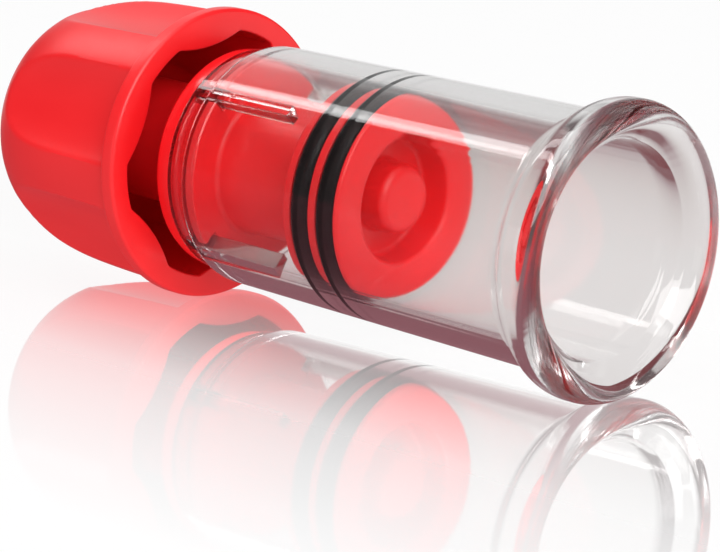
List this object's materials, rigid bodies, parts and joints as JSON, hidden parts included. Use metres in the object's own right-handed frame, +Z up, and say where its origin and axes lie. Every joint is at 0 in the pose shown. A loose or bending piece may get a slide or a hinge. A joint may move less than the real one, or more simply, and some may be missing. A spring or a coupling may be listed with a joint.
{
  "type": "vacuum suction cup",
  "caption": "Hand-twist vacuum suction cup: clear flanged barrel, sealed piston on a lead screw and a fluted grip knob.",
  "frame": {"origin": "centre of the mouth rim, on its sealing face", "axes": "+X along the cup's axis, out of the mouth; +Z up, away from the surface that the cup lies on"},
  "size_m": [0.0828, 0.0308, 0.0308],
  "materials": {
    "clear_tube": "moulded, polished",
    "red_collar": "moulded, glossy",
    "red_knob": "moulded, satin gloss",
    "red_piston": "moulded, satin gloss",
    "screw_resin": "moulded, semi-gloss",
    "seal_rubber": "moulded, lightly greased"
  },
  "bodies": {
    "barrel": {"barrel": "clear_tube", "bearing_collar": "red_collar"},
    "knob": {"grip_knob": "red_knob", "lead_screw": "screw_resin"},
    "piston": {"piston": "red_piston", "front_o_ring": "seal_rubber", "rear_o_ring": "seal_rubber"}
  },
  "joints": [
    {"name": "knob_turn", "type": "hinge", "parent": "barrel", "child": "knob", "pos_m": [-0.0522, 0, 0], "axis": [1, 0, 0], "range_deg": [-1296, 144]},
    {"name": "piston_slide", "type": "slide", "parent": "barrel", "child": "piston", "axis": [1, 0, 0], "range_m": [-0.001, 0.009]}
  ],
  "couplings": [
    {"joint": "piston_slide", "follows": "knob_turn", "m_per_rad": -0.00039789}
  ]
}
